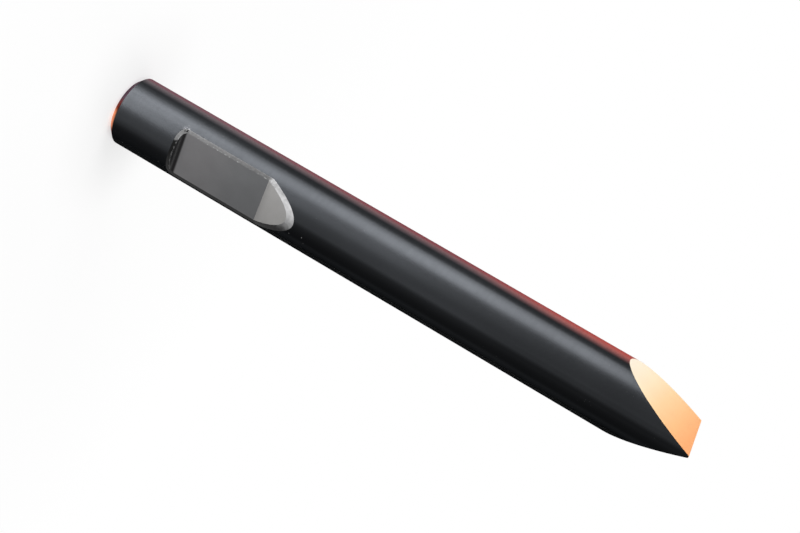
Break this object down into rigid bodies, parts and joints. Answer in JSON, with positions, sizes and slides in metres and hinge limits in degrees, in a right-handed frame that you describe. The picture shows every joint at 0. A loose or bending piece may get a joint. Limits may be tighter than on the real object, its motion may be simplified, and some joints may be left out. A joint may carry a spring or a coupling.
{
  "type": "hydraulic breaker chisel",
  "caption": "Round steel breaker tool with a bevelled striking head, retaining-pin slots with a shoulder and a run-out ramp, and a wedge point.",
  "frame": {"origin": "centre of the striking face, which is the flat end of the head", "axes": "+Z along the bar from the striking face to the point; the first slot faces -Y and the second +Y; the wedge's edge lies along Y and its flats face -X and +X"},
  "size_m": [0.15, 0.15, 1.3],
  "materials": {
    "tool_steel": "satin black heat-treated skin, with machined slots and bright ground wedge flats"
  },
  "bodies": {
    "root": {"chisel": "tool_steel"}
  },
  "joints": []
}
